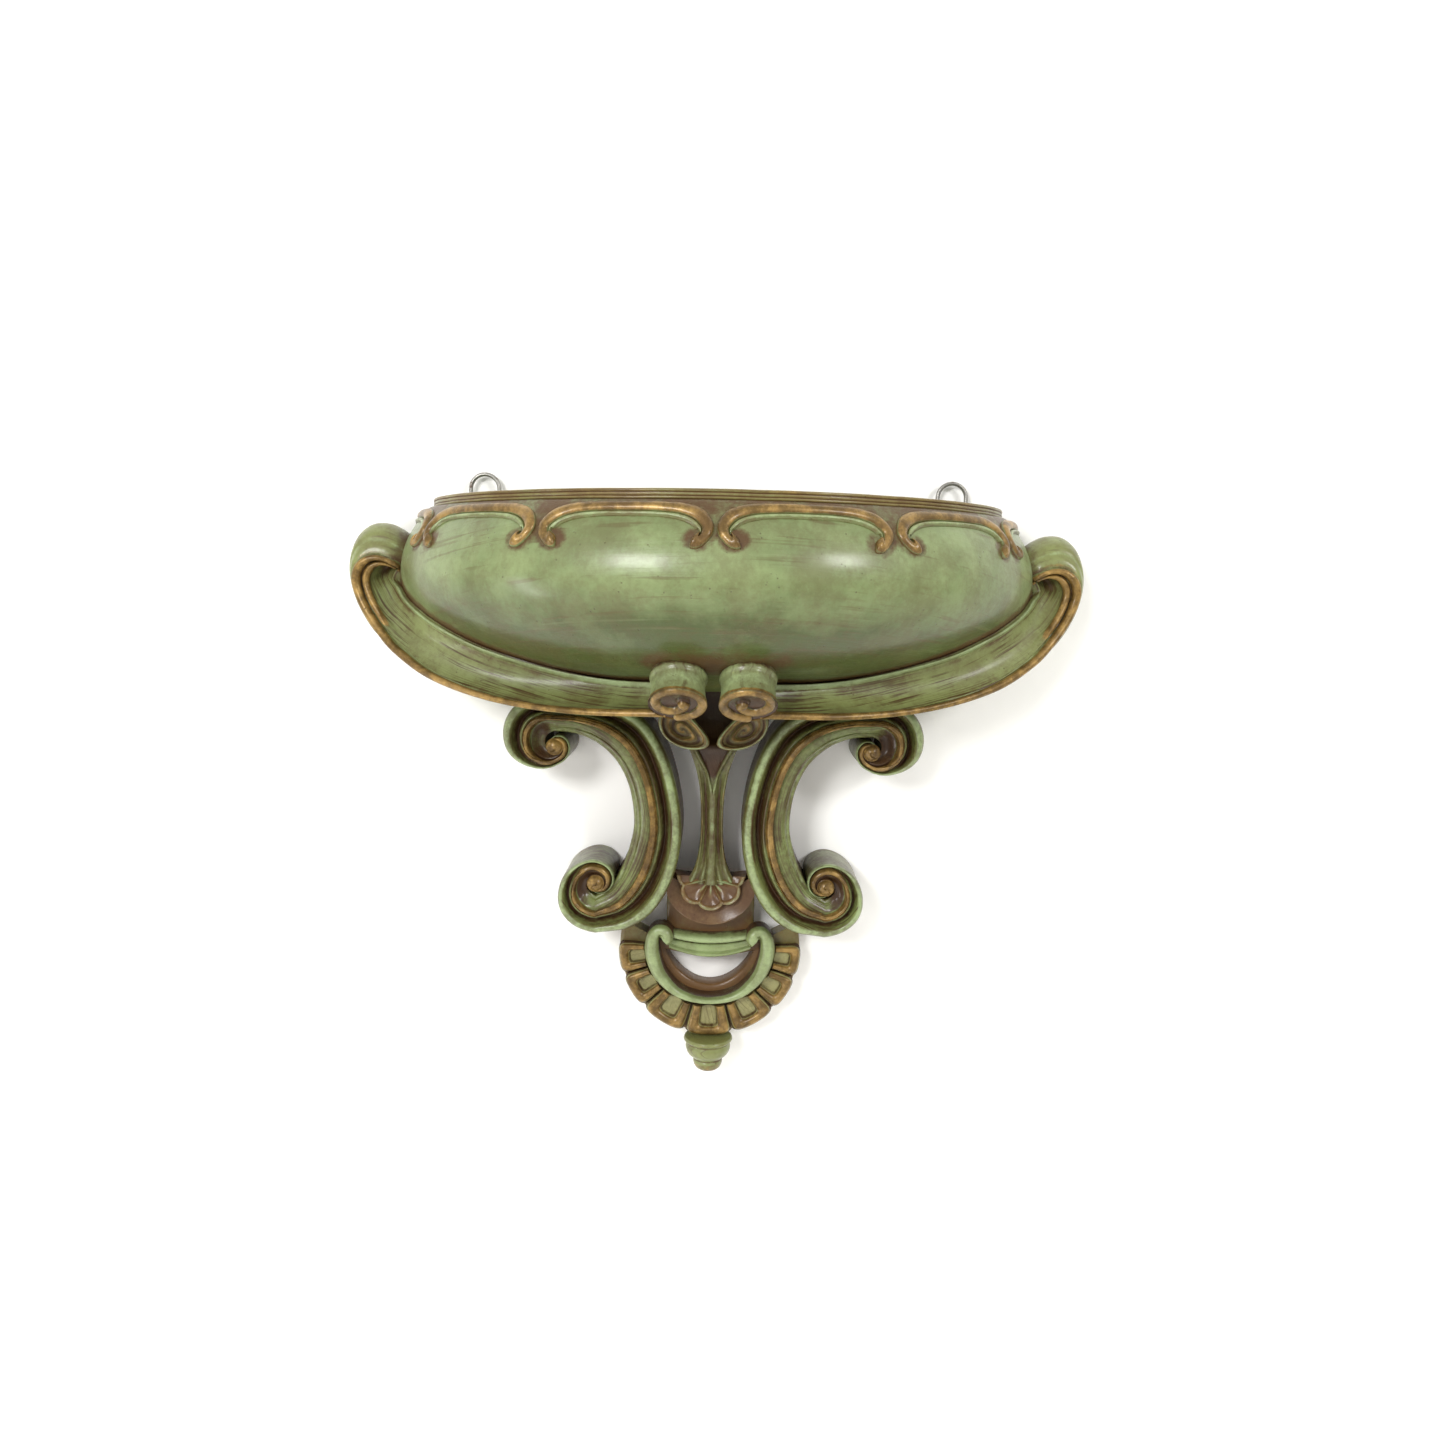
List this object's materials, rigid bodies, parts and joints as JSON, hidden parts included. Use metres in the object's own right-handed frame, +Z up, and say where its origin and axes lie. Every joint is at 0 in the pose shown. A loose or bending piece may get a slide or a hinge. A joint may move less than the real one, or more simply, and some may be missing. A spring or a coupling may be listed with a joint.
{
  "type": "wall pocket shelf with brackets",
  "caption": "Half-round wall pocket with an open top, carried on paired C-scroll brackets over a pierced base plaque, hung on wire loops.",
  "frame": {"origin": "on the wall plane, midway between the two hanging loops, at the height of the inside of their crowns, where the nails bear", "axes": "+X to the viewer's right along the wall, +Y into the wall, +Z up; the bowl stands out towards -Y"},
  "size_m": [0.417, 0.1478, 0.3573],
  "materials": {
    "sage_paint": "sage green paint with brown antiquing under satin varnish",
    "olive_paint": "streaky olive and brown antiqued paint",
    "gold_paint": "rubbed gold paint over umber",
    "umber_glaze": "dark umber glaze",
    "steel_wire": "dull grey wire"
  },
  "bodies": {
    "root": {"base_plaque": "olive_paint", "bowl": "sage_paint", "bracket_left": "olive_paint", "bracket_right": "olive_paint", "bud_left": "gold_paint", "bud_right": "gold_paint", "centre_strut": "olive_paint", "crescent_frame": "sage_paint", "ear_left": "sage_paint", "ear_right": "sage_paint", "fan_leaf": "umber_glaze", "finial": "sage_paint", "frieze_scroll_1": "gold_paint", "frieze_scroll_2": "gold_paint", "frieze_scroll_3": "gold_paint", "frieze_scroll_4": "gold_paint", "frieze_scroll_5": "gold_paint", "frieze_scroll_6": "gold_paint", "hanging_loop_left": "steel_wire", "hanging_loop_right": "steel_wire", "plaque_tab_1": "gold_paint", "plaque_tab_2": "gold_paint", "plaque_tab_3": "gold_paint", "plaque_tab_4": "gold_paint", "plaque_tab_5": "gold_paint", "plaque_tab_6": "gold_paint", "plaque_tab_7": "gold_paint", "rim_moulding": "olive_paint", "slot_brow": "sage_paint", "swag_left": "sage_paint", "swag_right": "sage_paint", "volute_left": "gold_paint", "volute_right": "gold_paint"}
  },
  "joints": []
}
